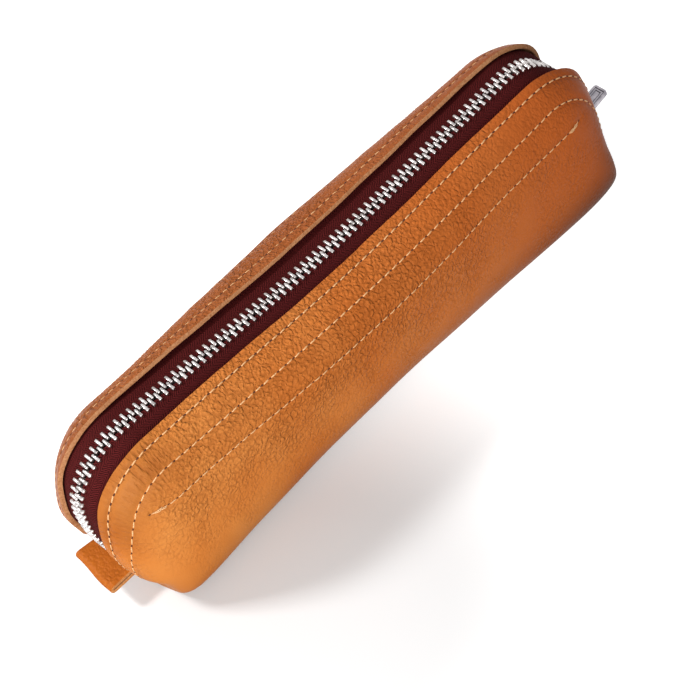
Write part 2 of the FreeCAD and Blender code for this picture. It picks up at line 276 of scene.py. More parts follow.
def pebbledHide(name, palette, grainDepth=0.00055, mapped=True):
    # full-grain cowhide tumbled in a drum: round pebbles about 1.2 mm across, shallow creases, low waxy sheen
    material, tree, surface = newMaterial(name)
    place = addNode(tree, "ShaderNodeTexCoord").outputs["Object"]
    wander = addNode(tree, "ShaderNodeTexNoise",
                     {"Vector": place, "Scale": 330.0, "Detail": 2.0}).outputs["Color"]
    bent = addNode(tree, "ShaderNodeVectorMath", {0: wander, 1: (0.5, 0.5, 0.5)},
                   operation="SUBTRACT").outputs[0]
    bent = addNode(tree, "ShaderNodeVectorMath", {0: bent, "Scale": 0.0018}, operation="SCALE").outputs[0]
    bent = addNode(tree, "ShaderNodeVectorMath", {0: bent, 1: place}, operation="ADD").outputs[0]
    pebble = addNode(tree, "ShaderNodeTexVoronoi", {"Vector": bent, "Scale": 900.0, "Smoothness": 0.35},
                     feature="SMOOTH_F1").outputs["Distance"]
    pebble = addNode(tree, "ShaderNodeMapRange",
                     {"Value": pebble, "From Min": 0.15, "From Max": 0.75, "To Min": 1.0, "To Max": 0.0},
                     interpolation_type="SMOOTHSTEP").outputs[0]
    fold = addNode(tree, "ShaderNodeTexVoronoi", {"Vector": bent, "Scale": 470.0},
                   feature="DISTANCE_TO_EDGE").outputs["Distance"]
    fold = addNode(tree, "ShaderNodeMapRange", {"Value": fold, "From Max": 0.18},
                   interpolation_type="SMOOTHSTEP").outputs[0]
    pores = addNode(tree, "ShaderNodeTexNoise",
                    {"Vector": place, "Scale": 2400.0, "Detail": 3.0}).outputs["Fac"]
    clouds = addNode(tree, "ShaderNodeTexNoise",
                     {"Vector": place, "Scale": 32.0, "Detail": 3.0}).outputs["Fac"]
    patches = addNode(tree, "ShaderNodeTexNoise",
                      {"Vector": place, "Scale": 95.0, "Detail": 2.0}).outputs["Fac"]
    grain = addNode(tree, "ShaderNodeMath", {0: pebble, 1: 0.62}, operation="MULTIPLY").outputs[0]
    grain = addNode(tree, "ShaderNodeMath", {0: fold, 1: 0.38, 2: grain},
                    operation="MULTIPLY_ADD").outputs[0]
    if mapped:
        # pressed wrinkles run across the rim where the hide is turned round the ends
        grainMap = addNode(tree, "ShaderNodeAttribute", attribute_name="grain").outputs["Fac"]
        spread = addNode(tree, "ShaderNodeMapRange", {"Value": patches, "From Min": 0.3, "From Max": 0.7,
                                                      "To Min": -0.2, "To Max": 0.2}).outputs[0]
        strength = addNode(tree, "ShaderNodeMath", {0: grainMap, 1: spread}, operation="ADD",
                           use_clamp=True).outputs[0]
        laid = addNode(tree, "ShaderNodeUVMap", uv_map="laid").outputs[0]
        stretched = addNode(tree, "ShaderNodeMapping",
                            {"Vector": laid, "Scale": (1.0, 0.30, 1.0)}).outputs[0]
        wrinkle = addNode(tree, "ShaderNodeTexNoise",
                          {"Vector": stretched, "Scale": 900.0, "Detail": 2.0}).outputs["Fac"]
        wrinkle = addNode(tree, "ShaderNodeMapRange", {"Value": wrinkle, "From Min": 0.35, "From Max": 0.6},
                          interpolation_type="SMOOTHSTEP").outputs[0]
        crumple = addNode(tree, "ShaderNodeAttribute", attribute_name="crumple").outputs["Fac"]
        grain = addNode(tree, "ShaderNodeMix", {"Factor": crumple, 2: grain, 3: wrinkle}).outputs[0]
    else:
        strength = addNode(tree, "ShaderNodeMapRange", {"Value": patches, "From Min": 0.3, "From Max": 0.7,
                                                        "To Min": 0.3, "To Max": 0.6}).outputs[0]
    flat = addNode(tree, "ShaderNodeMath", {0: 0.8, 1: strength}, operation="SUBTRACT").outputs[0]
    shaped = addNode(tree, "ShaderNodeMath", {0: grain, 1: strength, 2: flat},
                     operation="MULTIPLY_ADD").outputs[0]
    relief = addNode(tree, "ShaderNodeMath", {0: pores, 1: 0.14, 2: shaped},
                     operation="MULTIPLY_ADD").outputs[0]
    if mapped:
        furrow = addNode(tree, "ShaderNodeAttribute", attribute_name="furrow").outputs["Fac"]
        relief = addNode(tree, "ShaderNodeMath", {0: furrow, 1: -0.8, 2: relief},
                         operation="MULTIPLY_ADD").outputs[0]
    body = ramp(tree, clouds, [(0.32, colour(palette["mid"])), (0.68, colour(palette["light"]))])
    if mapped:
        # painted shade: the hide is coloured darker towards the slider's end, where less light falls
        axes = addNode(tree, "ShaderNodeSeparateXYZ", {0: place}).outputs
        lengthwise = addNode(tree, "ShaderNodeMapRange",
                             {"Value": axes[0], "From Min": -0.09, "From Max": 0.10}).outputs[0]
        body = addNode(tree, "ShaderNodeMix", {"Factor": lengthwise, 6: body, 7: colour(palette["dark"])},
                       data_type="RGBA").outputs[2]
        # painted shade: the back panel is coloured duller and redder, as it faces away from the lamps
        behind = addNode(tree, "ShaderNodeMapRange",
                         {"Value": axes[1], "From Min": 0.002, "From Max": 0.006}).outputs[0]
        behind = addNode(tree, "ShaderNodeMath", {0: behind, 1: 0.75}, operation="MULTIPLY").outputs[0]
        body = addNode(tree, "ShaderNodeMix", {"Factor": behind, 6: body, 7: colour(palette["back"])},
                       data_type="RGBA").outputs[2]
        # painted shade: darker colour along the base, at the slider's end and round the tab's bend, from the
        # mask below
        rubMarksAndPaintedShade = addNode(tree, "ShaderNodeAttribute", attribute_name="paintedShade").outputs["Fac"]
        body = addNode(tree, "ShaderNodeMix", {"Factor": rubMarksAndPaintedShade, 6: body, 7: colour(palette["rubMarksAndPaintedShade"])},
                       data_type="RGBA").outputs[2]
    # painted shade: the grain's creases are coloured darker, for the shade that falls in them
    crease = addNode(tree, "ShaderNodeMapRange", {"Value": shaped, "From Min": 0.15, "From Max": 0.7,
                                                  "To Min": 0.40, "To Max": 0.0}).outputs[0]
    tone = addNode(tree, "ShaderNodeMix", {"Factor": crease, 6: body, 7: colour(palette["deep"])},
                   data_type="RGBA").outputs[2]
    rough = addNode(tree, "ShaderNodeMapRange", {"Value": shaped, "To Min": 0.68, "To Max": 0.36}).outputs[0]
    bump = addNode(tree, "ShaderNodeBump",
                   {"Height": relief, "Strength": 1.0, "Distance": grainDepth}).outputs[0]
    setSockets(tree, surface, {"Base Color": tone, "Roughness": rough, "Normal": bump, "IOR": 1.45,
                               "Specular IOR Level": 0.09})
    return material


# the last three colours are painted shade: towards the slider's end, on the back panel, and along the base,
# the slider's end face and the tab's bend
hidePalette = {"deep": "#8A4518", "mid": "#C8722D", "light": "#DA8C45", "dark": "#B75924", "back": "#A35C35",
               "rubMarksAndPaintedShade": "#512509"}
hideLeather = pebbledHide("tumbled tan cowhide", hidePalette)
tabEdge = rawFibre("trimmed tab edge", ("#A8662C", "#DB9A5C"), 1300.0, 0.00012)
tabLeather = pebbledHide("tan cowhide strip", {"deep": "#8A4010", "mid": "#A4541A", "light": "#BE6A22"},
                         0.0003, mapped=False)

cutEdge = rawFibre("cut leather edge", ("#A2653A", "#CB9264"), 1500.0, 0.0002)
fleshSide = rawFibre("leather flesh side", ("#8A5A34", "#A97448"), 900.0, 0.0002)


def wovenTape():
    # dyed polyester zip tape, herringbone woven: fine zigzag ribs, matt; 0.75 mm apart where the real ones
    # are nearer 0.5 mm, because those are too fine to show
    material, tree, surface = newMaterial("herringbone polyester tape")
    place = addNode(tree, "ShaderNodeTexCoord").outputs["Object"]
    flat = addNode(tree, "ShaderNodeSeparateXYZ",
                   {0: addNode(tree, "ShaderNodeUVMap", uv_map="weave").outputs[0]})
    u, v = flat.outputs[0], flat.outputs[1]
    zigzag = addNode(tree, "ShaderNodeMath", {0: v, 1: 0.0022}, operation="PINGPONG").outputs[0]
    slanted = addNode(tree, "ShaderNodeMath", {0: zigzag, 1: u}, operation="ADD").outputs[0]
    wobble = addNode(tree, "ShaderNodeTexNoise", {"Vector": place, "Scale": 500.0}).outputs["Fac"]
    slanted = addNode(tree, "ShaderNodeMath", {0: wobble, 1: 0.0009, 2: slanted},
                      operation="MULTIPLY_ADD").outputs[0]
    rib = addNode(tree, "ShaderNodeMath", {0: slanted, 1: 2 * math.pi / 0.00075},
                  operation="MULTIPLY").outputs[0]
    rib = addNode(tree, "ShaderNodeMath", {0: rib}, operation="SINE").outputs[0]
    rib = addNode(tree, "ShaderNodeMath", {0: rib, 1: 0.5, 2: 0.5}, operation="MULTIPLY_ADD").outputs[0]
    fuzz = addNode(tree, "ShaderNodeTexNoise",
                   {"Vector": place, "Scale": 2200.0, "Detail": 3.0}).outputs["Fac"]
    relief = addNode(tree, "ShaderNodeMath", {0: fuzz, 1: 0.8, 2: rib}, operation="MULTIPLY_ADD").outputs[0]
    tone = ramp(tree, relief, [(0.3, colour("#1C0706")), (0.8, colour("#401213")), (1.0, colour("#591D1D"))])
    bump = addNode(tree, "ShaderNodeBump",
                   {"Height": relief, "Strength": 0.8, "Distance": 0.00012}).outputs[0]
    setSockets(tree, surface,
               {"Base Color": tone, "Normal": bump, "Roughness": 0.85, "Specular IOR Level": 0.04})
    return material


def platedNickel(name, tones, roughness, scratch):
    # bright nickel plate over brass, tumbled before plating: soft reflections, faint rub marks
    material, tree, surface = newMaterial(name)
    place = addNode(tree, "ShaderNodeTexCoord").outputs["Object"]
    marks = addNode(tree, "ShaderNodeTexNoise",
                    {"Vector": place, "Scale": 1400.0, "Detail": 4.0}).outputs["Fac"]
    rubMarksAndPaintedShade = addNode(tree, "ShaderNodeTexNoise",
                     {"Vector": place, "Scale": 420.0, "Detail": 2.0}).outputs["Fac"]
    tone = ramp(tree, rubMarksAndPaintedShade, [(0.35, colour(tones[0])), (0.65, colour(tones[1]))])
    rough = addNode(tree, "ShaderNodeMapRange",
                    {"Value": marks, "To Min": roughness - 0.08, "To Max": roughness + 0.12}).outputs[0]
    bump = addNode(tree, "ShaderNodeBump",
                   {"Height": marks, "Strength": scratch, "Distance": 0.00003}).outputs[0]
    setSockets(tree, surface, {"Base Color": tone, "Roughness": rough, "Normal": bump, "Metallic": 1.0})
    return material


def bondedThread():
    # bonded polyester sewing thread, 3 ply: tight twist about 0.6 mm long, slight shine
    material, tree, surface = newMaterial("bonded polyester thread")
    flat = addNode(tree, "ShaderNodeSeparateXYZ",
                   {0: addNode(tree, "ShaderNodeUVMap", uv_map="twist").outputs[0]})
    spun = addNode(tree, "ShaderNodeMath", {0: flat.outputs[0], 1: flat.outputs[1]},
                   operation="ADD").outputs[0]
    spun = addNode(tree, "ShaderNodeMath", {0: spun, 1: 2 * math.pi}, operation="MULTIPLY").outputs[0]
    ply = addNode(tree, "ShaderNodeMath", {0: spun}, operation="SINE").outputs[0]
    ply = addNode(tree, "ShaderNodeMath", {0: ply, 1: 0.5, 2: 0.5}, operation="MULTIPLY_ADD").outputs[0]
    tone = ramp(tree, ply, [(0.0, colour("#C98A50")), (0.6, colour("#EDBE88"))])
    bump = addNode(tree, "ShaderNodeBump", {"Height": ply, "Strength": 0.5, "Distance": 0.00008}).outputs[0]
    setSockets(tree, surface, {"Base Color": tone, "Normal": bump, "Roughness": 0.5})
    return material


def needleShadow():
    # painted shade: a dark patch at the pierced hole at each end of a stitch, for the shade inside the hole,
    # no shine
    material, tree, surface = newMaterial("pierced leather hole")
    place = addNode(tree, "ShaderNodeTexCoord").outputs["Object"]
    speck = addNode(tree, "ShaderNodeTexNoise", {"Vector": place, "Scale": 1800.0}).outputs["Fac"]
    tone = ramp(tree, speck, [(0.3, colour("#3A1A08")), (0.7, colour("#5A2C10"))])
    setSockets(tree, surface, {"Base Color": tone, "Roughness": 0.9})
    return material


tapeCloth = wovenTape()
toothNickel = platedNickel("nickel plated tooth", ("#AFAAA8", "#E2DCDA"), 0.26, 0.2)
# painted shade: the cups under the teeth are coloured dark, for the shade between the teeth
toothShade = platedNickel("nickel cup in painted shade", ("#2E2A28", "#4C4744"), 0.5, 0.3)
sliderNickel = platedNickel("nickel plated casting", ("#A7A2A4", "#C6C1C4"), 0.32, 0.3)
pullNickel = platedNickel("brushed nickel pull", ("#8E8A91", "#BAB4BA"), 0.30, 0.3)
sunkLine = platedNickel("darkened nickel recess", ("#17131A", "#2C2630"), 0.5, 0.3)
threadFibre = bondedThread()
holeDark = needleShadow()
print("materials made")


def finishPiece(name, mesh, body, replaced, materials, smooth=True):
    made = bpy.data.meshes.new(name)
    mesh.to_mesh(made)
    mesh.free()
    for material in materials:
        made.materials.append(material)
    piece = bpy.data.objects.new(name, made)
    bpy.context.scene.collection.objects.link(piece)
    if smooth:
        made.shade_smooth()
    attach(piece, body)
    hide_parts(*replaced)
    return piece


def thicken(piece, thickness, offset):
    # the wall of a sheet, with its inner side and its cut edge in the second and third material
    wall = piece.modifiers.new("thickness", "SOLIDIFY")
    wall.thickness = thickness
    wall.offset = offset
    if len(piece.data.materials) > 1:
        wall.material_offset = 1
        wall.material_offset_rim = 2
    return wall


def roundEdge(piece, width):
    soft = piece.modifiers.new("edge", "BEVEL")
    soft.width = width
    soft.segments = 2
    soft.limit_method = "ANGLE"
    soft.angle_limit = math.radians(50)


def turnOut(mesh, outward):
    # faces of an open sheet agree with each other first, then with the given measure
    bmesh.ops.recalc_face_normals(mesh, faces=mesh.faces)
    mesh.normal_update()
    if outward(mesh.faces) < 0:
        bmesh.ops.reverse_faces(mesh, faces=mesh.faces)
        mesh.normal_update()


def placeGrid(mesh, columns, across):
    # a grid whose vertices are then set by column and step, returned as a table of vertices
    bmesh.ops.create_grid(mesh, x_segments=columns - 1, y_segments=across - 1, size=1.0)
    ordered = sorted(mesh.verts, key=lambda v: (round(v.co.x, 5), round(v.co.y, 5)))
    return [ordered[i * across:(i + 1) * across] for i in range(columns)]


# the hide: front wall, base, back wall and both ends, cut open along the zip
hide = {"across": 88, "caps": 9, "turns": 20, "runs": 86, "crowd": 1.18, "swell": 0.00035, "edge": 0.0003,
        "furrowWidth": 0.0008}
# how dark the painted shade is along the base, on the slider's end face and foot and round the bend at the
# tab's end, and how much the hide crumples at the bends
shadeAndCrumple = {"corner": 0.60, "endFace": 0.6, "foot": 0.44, "bend": 0.34, "crumple": 0.85, "rightCrumple": 0.35}
rowPlaces = {
    "rowOne": {"y": 0.0126, "follow": 0.0008, "tuck": 0.0012, "left": 9.0, "right": 9.0, "low": 0.0065},
    "rowTwo": {"y": 0.0199, "follow": 0.0026, "tuck": 0.0012, "left": 9.0, "right": 9.0, "low": 0.0065},
    # straight, ends in a few locking stitches
    "rowThree": {"level": 0.0391, "left": 0.0938, "right": 0.0908},
}


def rowOffset(row, x, z=1.0):
    tucked = row["tuck"] * (1 - ease(z, 0.004, 0.024)) if x < 0 else 0.0
    return row["y"] - row["follow"] * nearEnd(x, halfLength) - tucked


def hidePoint(column, step):
    # step runs 0 to 1 from the rim to the middle of the base; shrink draws a column down the end face
    side, x, turn, shrink = column
    key = ("hide", side, round(x, 6), round(turn, 5))
    if key not in sectionStore:
        sectionStore[key] = fromRim(halfSection(side, x, turn, 0.0, 200), caseSize["rim"])
    points, lengths = sectionStore[key]
    point = along(points, lengths, lengths[-1] * step ** hide["crowd"])
    if shrink > 0:
        top = points[0].z
        low = caseSize["mouthEnd"] if side > 0 else caseSize["tabMouthEnd"]
        drop = top - low
        travel = step * (drop + caseSize["rim"])
        z = top - min(travel, drop)
        y = caseSize["rim"] - max(travel - drop, 0)
        edge = Vector((facePlane(side, y, z), y, z))
        point = point.lerp(edge, shrink)
        point.x = facePlane(side, y, point.z)
    return point


def buildHide():
    caps, turns, runs = hide["caps"], hide["turns"], hide["runs"]
    columns = [(1, arcStart, math.pi / 2, 1 - i / caps) for i in range(caps)]
    columns += [(1, arcStart, math.radians(90 * (1 - i / turns)), 0) for i in range(turns)]
    columns += [(1 if i < runs / 2 else -1, arcStart * (1 - 2 * i / runs), 0.0, 0) for i in range(runs + 1)]
    columns += [(-1, -arcStart, math.radians(90 * (i + 1) / turns), 0) for i in range(turns)]
    columns += [(-1, -arcStart, math.pi / 2, (i + 1) / caps) for i in range(caps)]
    mesh = bmesh.new()
    across = hide["across"]
    table = placeGrid(mesh, len(columns), 2 * across - 1)
    for column, line in zip(columns, table):
        for j, vert in enumerate(line):
            back = j >= across - 1
            step = 1 - abs(j - (across - 1)) / (across - 1)
            point = hidePoint(column, step)
            wander = rimWave(point.x, point.z, 1 if back else -1) * (1 - ease(step, 0.0, 0.06))
            vert.co = boxCorner(Vector((point.x, (point.y + wander) * (1 if back else -1), point.z)))
    bmesh.ops.remove_doubles(mesh, verts=mesh.verts, dist=2e-6)
    heart = Vector((0, 0, caseSize["height"] / 2))
    turnOut(mesh,
            lambda faces: sum(f.normal.dot(f.calc_center_median() - heart) * f.calc_area() for f in faces))
    grain = mesh.verts.layers.float.new("grain")
    furrow = mesh.verts.layers.float.new("furrow")
    crumple = mesh.verts.layers.float.new("crumple")
    paintedShade = mesh.verts.layers.float.new("paintedShade")
    laid = mesh.loops.layers.uv.new("laid")
    for face in mesh.faces:
        for loop in face.loops:
            p = loop.vert.co
            bend = math.atan2(abs(p.x) - arcStart, max(p.z - 0.020, 0.001)) if abs(p.x) > arcStart else 0.0
            run = min(abs(p.x), arcStart) + bend * caseSize["cornerRadius"]
            loop[laid].uv = (math.copysign(run, p.x), abs(p.y))
    moved = []
    for vert in mesh.verts:
        p = vert.co
        fromMiddle = abs(p.y)
        wall = clamp((fromMiddle - 0.012) / 0.008) * clamp((p.z - 0.004) / 0.012)
        wave = noise.noise(Vector((p.x * 38, p.y * 60, p.z * 60))) + 0.4 * noise.noise(p * 150)
        moved.append((vert, vert.normal * hide["swell"] * wave * wall))
        ends = ease(halfLength - abs(p.x), 0.004, 0.032)
        worn = 1 - 0.66 * ease(p.x, -0.020, 0.070)     # the grain is pulled flatter towards the slider end
        vert[grain] = 0.12 + 0.72 * ease(p.z, 0.006, 0.040) * (0.3 + 0.7 * ends) * worn
        depth = 0.0
        for row in rowPlaces.values():
            if -row["left"] < p.x < row["right"] and p.z > row.get("low", 0.0):
                straight = "level" in row
                gap = abs(p.z - row["level"]) if straight else abs(fromMiddle - rowOffset(row, p.x, p.z))
                near = fromMiddle > 0.015 if straight else p.z > 0.030 or abs(p.x) > arcStart
                if near:
                    depth = max(depth, math.exp(-(gap / hide["furrowWidth"]) ** 2))
        vert[furrow] = depth
        # painted shade: a mask that darkens the base, the slider's end face and foot and the bend at the
        # tab's end, where little light falls
        turned = ease(abs(p.x), 0.070, 0.086) * (1 - ease(fromMiddle, 0.014, 0.023))
        turned *= ease(p.z, 0.022, 0.036)
        cornered = (1 - ease(p.z, 0.001, 0.020)) * (1 - 0.6 * ease(-p.x, -0.09, 0.09))
        footShade = ease(p.x, 0.050, 0.095) * (1 - ease(p.z, 0.003, 0.026))
        footShade *= 1 - 0.7 * ease(p.x, 0.098, 0.105)
        onFace = shadeAndCrumple["endFace"] * ease(p.x, 0.085, 0.104) * (1 - ease(p.z, 0.01, 0.045))
        vert[paintedShade] = shadeAndCrumple["corner"] * max(cornered, onFace) + shadeAndCrumple["foot"] * footShade
        if p.x < 0:
            vert[paintedShade] += shadeAndCrumple["bend"] * turned
        vert[crumple] = shadeAndCrumple["crumple"] * turned * (1.0 if p.x < 0 else shadeAndCrumple["rightCrumple"])
    for vert, shift in moved:
        vert.co += shift
    mesh.normal_update()
    surfaceTree = BVHTree.FromBMesh(mesh)
    piece = finishPiece("hide", mesh, "case", ["leather_body"], [hideLeather, fleshSide, cutEdge])
    thicken(piece, caseSize["leather"], -1).use_even_offset = True
    roundEdge(piece, hide["edge"])
    return surfaceTree


hideTree = buildHide()
print("hide built")


# zip tapes under the rims
tapeSize = {"inner": 0.0009, "outer": 0.0140, "rightEnd": 0.0048, "leftEnd": 0.00975, "parted": 0.0014,
            "partedTop": 0.0169, "bead": 0.00062, "beadPlace": 0.0017, "across": 15, "beadAround": 9,
            "under": 0.00012}
columnsTape = zipColumns(tapeSize["rightEnd"], tapeSize["leftEnd"])
midTape = caseSize["leather"] + caseSize["tape"] / 2


def partedBy(x, z):
    # inside and below the parked slider the two sides of the zip stand apart
    if x < arcStart:
        return 0.0
    return ease(tapeSize["partedTop"] + 0.002 - z, 0.0, 0.004)


def layFlat(mesh, layer, place):
    for face in mesh.faces:
        for loop in face.loops:
            loop[layer].uv = place[loop.vert]


def buildTape(side, replaced):
    mesh = bmesh.new()
    across = tapeSize["across"]
    table = placeGrid(mesh, len(columnsTape), across)
    weave = mesh.loops.layers.uv.new("weave")
    run = 0.0
    last = None
    place = {}
    for column, line in zip(columnsTape, table):
        probe = onTape(column, 0.006, caseSize["leather"])
        run += (probe - last).length if last else 0.0
        last = probe
        inner = tapeSize["inner"] + partedBy(probe.x, probe.z) * tapeSize["parted"]
        for j, vert in enumerate(line):
            y = inner + (tapeSize["outer"] - inner) * j / (across - 1)
            point = onTape(column, y, caseSize["leather"] + tapeSize["under"])
            vert.co = Vector((point.x, side * point.y, point.z))
            place[vert] = (run, y)
    layFlat(mesh, weave, place)
    turnOut(mesh, lambda faces: sum(f.normal.z * f.calc_area() for f in faces))
    piece = finishPiece("tape" + ("Back" if side > 0 else "Front"), mesh, "case", replaced,
                        [tapeCloth])
    thicken(piece, caseSize["tape"], -1)


def buildBead(side, replaced):
    # the cord woven into each tape's inner edge, which the teeth are clamped on
    mesh = bmesh.new()
    around, thick = tapeSize["beadAround"], tapeSize["bead"]
    table = placeGrid(mesh, len(columnsTape), around)
    weave = mesh.loops.layers.uv.new("weave")
    place = {}
    run = 0.0
    last = None
    for column, line in zip(columnsTape, table):
        heart = onTape(column, tapeSize["beadPlace"], midTape)
        inner = onTape(column, tapeSize["beadPlace"], midTape + 0.001)
        run += (heart - last).length if last else 0.0
        last = heart
        outward = (heart - inner).normalized()
        heart.y += partedBy(heart.x, heart.z) * tapeSize["parted"]
        for j, vert in enumerate(line):
            a = 2 * math.pi * j / (around - 1)
            point = heart + outward * (thick * math.cos(a)) + Vector((0, thick * math.sin(a), 0))
            vert.co = Vector((point.x, side * point.y, point.z))
            place[vert] = (run, 0.006 + 0.001 * j / around)
    layFlat(mesh, weave, place)
    bmesh.ops.remove_doubles(mesh, verts=mesh.verts, dist=1e-6)
    bmesh.ops.holes_fill(mesh, edges=[e for e in mesh.edges if e.is_boundary], sides=around)
    bmesh.ops.recalc_face_normals(mesh, faces=mesh.faces)
    finishPiece("bead" + ("Back" if side > 0 else "Front"), mesh, "case", replaced, [tapeCloth])


buildTape(1, ["tape_back"])
buildTape(-1, ["tape_front"])
buildBead(1, ["bead_back"])
buildBead(-1, ["bead_front"])
print("tapes built")


# the chain of teeth
chainSize = {"pitch": 0.0025, "long": 0.00096, "deep": 0.0026, "reach": 0.00275, "overlap": 0.00055,
             "parting": 0.0015, "partedTop": 0.0158, "firstGap": 0.0016, "lastGap": 0.0038, "bevel": 0.00022,
             "headLong": 1.12, "headDeep": 0.86, "rootLong": 0.82}


cupSize = (0.0013, 0.0012, 0.00150)
cupPlace = (-0.0005, 0.00062, 0)


def zipLine(inset):
    points = []
    for column in zipColumns(caseSize["mouthEnd"], caseSize["mouthEnd"], (40, 90, 200)):
        points.append(onTape(column, 0.0, inset))
    return points, runningLengths(points)


def lineFrame(points, lengths, distance):
    # X outward, Y across, Z along the zip
    here = along(points, lengths, distance)
    ahead = along(points, lengths, distance + 0.0003)
    behind = along(points, lengths, distance - 0.0003)
    tangent = (ahead - behind).normalized()
    outward = Vector((0, 1, 0)).cross(tangent).normalized()
    turn = Matrix((outward, Vector((0, 1, 0)), tangent)).transposed().to_4x4()
    return Matrix.Translation(here) @ turn


linePoints, lineLengths = zipLine(midTape)


def distanceAt(z):
    for i, point in enumerate(linePoints):
        if point.z >= z:
            a = linePoints[i - 1]
            return lineLengths[i - 1] + (lineLengths[i] - lineLengths[i - 1]) * (z - a.z) / (point.z - a.z)


def toothShape(mesh):
    # a stamped tooth: slim bar with rounded edges, and lower down the wide cup that its neighbours lock into
    made = bmesh.ops.create_cube(mesh, size=1.0)["verts"]
    bmesh.ops.scale(mesh, verts=made,
                    vec=(chainSize["deep"], chainSize["reach"] + chainSize["overlap"], chainSize["long"]))
    bmesh.ops.translate(mesh, verts=made, vec=(0, (chainSize["reach"] - chainSize["overlap"]) / 2, 0))
    for vert in made:
        if vert.co.y > 0.001:
            vert.co.z *= chainSize["headLong"]
            vert.co.x *= chainSize["headDeep"]
        else:
            vert.co.z *= chainSize["rootLong"]
    edges = list({e for v in made for e in v.link_edges})
    bmesh.ops.bevel(mesh, geom=edges, offset=chainSize["bevel"], offset_type="OFFSET", segments=1,
                    profile=0.5, affect="EDGES", material=-1, clamp_overlap=True)
    cup = bmesh.ops.create_cube(mesh, size=1.0)["verts"]
    bmesh.ops.scale(mesh, verts=cup, vec=cupSize)
    bmesh.ops.translate(mesh, verts=cup, vec=cupPlace)
    # the cups take the second material, the dark painted shade
    for face in {f for v in cup for f in v.link_faces}:
        face.material_index = 1


def repeatShape(template, frames):
    # copies of one small mesh, each set in its own frame
    mesh = bmesh.new()
    seed = bpy.data.meshes.new("seed")
    template.to_mesh(seed)
    for turn in frames:
        before = len(mesh.verts)
        mesh.from_mesh(seed)
        mesh.verts.ensure_lookup_table()
        bmesh.ops.transform(mesh, matrix=turn, verts=mesh.verts[before:])
    bpy.data.meshes.remove(seed)
    return mesh


def buildTeeth(side, shift, replaced):
    template = bmesh.new()
    toothShape(template)
    if side < 0:
        bmesh.ops.scale(template, verts=template.verts, vec=(1, -1, 1))
        bmesh.ops.reverse_faces(template, faces=template.faces)
    first = distanceAt(tapeSize["rightEnd"]) + chainSize["firstGap"]
    last = lineLengths[-1] - distanceAt(tapeSize["leftEnd"]) - chainSize["lastGap"]
    parted = distanceAt(chainSize["partedTop"])
    frames = []
    count = int((last - first) / chainSize["pitch"])
    for i in range(count + 1):
        at = first + (shift * 0.5 + i) * chainSize["pitch"]
        apart = chainSize["parting"] * side if at < parted else 0.0
        frames.append(lineFrame(linePoints, lineLengths, at) @ Matrix.Translation((0, apart, 0)))
    mesh = repeatShape(template, frames)
    template.free()
    finishPiece("teeth" + ("Back" if side > 0 else "Front"), mesh, "case", replaced,
                [toothNickel, toothShade])


buildTeeth(1, 1, ["teeth_back"])
buildTeeth(-1, 0, ["teeth_front"])
print("teeth built")


# sewn rows: lockstitches that rise from a needle hole, cross and dive again
stitch = {"pitch": 0.0031, "long": 0.0024, "wide": 0.00044, "deep": 0.00030, "lift": 0.00010,
          "dive": 0.00030, "hole": 0.00034, "drawnOut": 1.7, "plain": 1.2, "uneven": 0.00003,
          "pulledIn": 0.00017, "lockSlant": 9, "lockRise": 0.00012,
          "locks": ((0.0009, 0.00028), (0.0016, -0.00022), (0.0026, 0.0002))}


rayStart = 0.1           # well outside the hide


def rowLine(row, side):
    # the row's points on the finished hide with the hide's outward direction at each
    line = []
    if "level" in row:
        count = 150
        for i in range(count + 1):
            x = row["right"] - (row["left"] + row["right"]) * i / count
            start = Vector((x, side * rayStart, row["level"]))
            line.append(hideTree.ray_cast(start, Vector((0, -side, 0)))[:2])
    else:
        for column in zipColumns(row["low"], row["low"], (8, 30, 150)):
            probe = onCase(column, row["y"], 0.0)
            point = onCase(column, rowOffset(row, probe.x, probe.z), 0.0)
            if column[0] == "face" or (column[0] == "turn" and column[3] > 0.6):
                start = Vector((2 * rayStart * column[1], side * point.y, point.z))
                line.append(hideTree.ray_cast(start, Vector((-column[1], 0, 0)))[:2])
            else:
                line.append(hideTree.find_nearest(Vector((point.x, side * point.y, point.z)))[:2])
    points = [p for p, n in line]
    return points, [n for p, n in line], runningLengths(points)


def stitchShape(mesh):
    made = bmesh.ops.create_cone(mesh, cap_ends=True, segments=8, radius1=0.5, radius2=0.5,
                                 depth=1.0)["verts"]
    sides = [e for e in mesh.edges if abs(e.verts[0].co.z - e.verts[1].co.z) > 0.5]
    bmesh.ops.subdivide_edges(mesh, edges=sides, cuts=5, use_grid_fill=False)
    twist = mesh.loops.layers.uv.new("twist")
    for face in mesh.faces:
        for loop in face.loops:
            co = loop.vert.co
            loop[twist].uv = (co.z * 4.0, math.atan2(co.y, co.x) / (2 * math.pi) * 3)
    for vert in mesh.verts:
        t = vert.co.z * 2
        swell = 1 - 0.45 * t ** 4
        vert.co = Vector((vert.co.x * stitch["deep"] * swell + stitch["lift"] - stitch["dive"] * t ** 4,
                          vert.co.y * stitch["wide"] * swell, vert.co.z * stitch["long"]))


def rowFrames(row, side, pitch, offset):
    points, normals, lengths = rowLine(row, side)
    frames = []
    count = int(lengths[-1] / pitch)
    slack = (lengths[-1] - count * pitch) / 2
    for i in range(count + (1 if offset else 0)):
        at = slack + (i + (0 if offset else 0.5)) * pitch
        here = along(points, lengths, at)
        tangent = (along(points, lengths, at + 0.0006) - along(points, lengths, at - 0.0006)).normalized()
        outward = along(normals, lengths, at).normalized()
        sideways = outward.cross(tangent).normalized()
        outward = tangent.cross(sideways).normalized()
        turn = Matrix((outward, sideways, tangent)).transposed().to_4x4()
        frames.append(Matrix.Translation(here) @ turn)
    return frames


